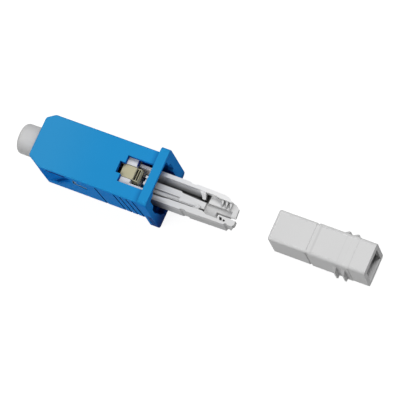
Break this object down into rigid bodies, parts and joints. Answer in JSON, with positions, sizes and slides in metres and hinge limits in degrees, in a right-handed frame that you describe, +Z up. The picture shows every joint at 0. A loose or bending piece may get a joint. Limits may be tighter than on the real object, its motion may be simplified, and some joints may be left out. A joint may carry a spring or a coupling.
{
  "type": "sc fibre connector",
  "caption": "Push-pull fibre plug for field fitting: blue coupling housing, capped ferrule, windowed splice slider, toothed cable holder and a pulled-off ribbed cover.",
  "frame": {"origin": "on the ferrule's axis, in the plane of the housing's nose", "axes": "+X from the mating nose towards the cable, +Z up out of the windowed face, +Y to the left seen from the cable end"},
  "size_m": [0.0614, 0.01, 0.011],
  "materials": {
    "housing_blue": "satin moulded, bright blue",
    "frame_white": "moulded, off-white",
    "body_white": "moulded, pale grey",
    "cover_grey": "moulded, pale grey, satin",
    "cap_grey": "soft moulded, pale grey",
    "slider_beige": "moulded, khaki beige",
    "splice_grey": "moulded, dark grey",
    "ceramic_white": "polished white ceramic",
    "holder_metal": "turned, plated",
    "spring_steel": "drawn wire",
    "fibre_glass": "bare glass fibre"
  },
  "bodies": {
    "housing": {"outer_housing": "housing_blue"},
    "core": {"plug_frame": "frame_white", "rear_body": "body_white", "ferrule_spring": "spring_steel"},
    "ferrule_unit": {"ferrule": "ceramic_white", "ferrule_holder": "holder_metal", "fibre_stub": "fibre_glass", "splice_base": "splice_grey", "splice_cover": "splice_grey"},
    "slider": {"clamp_slider": "slider_beige"},
    "cap": {"dust_cap": "cap_grey"},
    "cover": {"rear_cover": "cover_grey"}
  },
  "joints": [
    {"name": "housing_slide", "type": "slide", "parent": "housing", "child": "core", "axis": [-1, 0, 0], "range_m": [0, 0.0014]},
    {"name": "ferrule_float", "type": "slide", "parent": "core", "child": "ferrule_unit", "axis": [1, 0, 0], "range_m": [0, 0.001], "stiffness_N_per_m": 55, "springref_m": -0.0005, "deforming": ["ferrule_spring"]},
    {"name": "lock_slide", "type": "slide", "parent": "ferrule_unit", "child": "slider", "axis": [-1, 0, 0], "range_m": [0, 0.0009]},
    {"name": "cap_pull", "type": "slide", "parent": "core", "child": "cap", "axis": [-1, 0, 0], "range_m": [0, 0.015]},
    {"name": "cover_slide", "type": "slide", "parent": "core", "child": "cover", "axis": [-1, 0, 0], "range_m": [0, 0.017]}
  ]
}
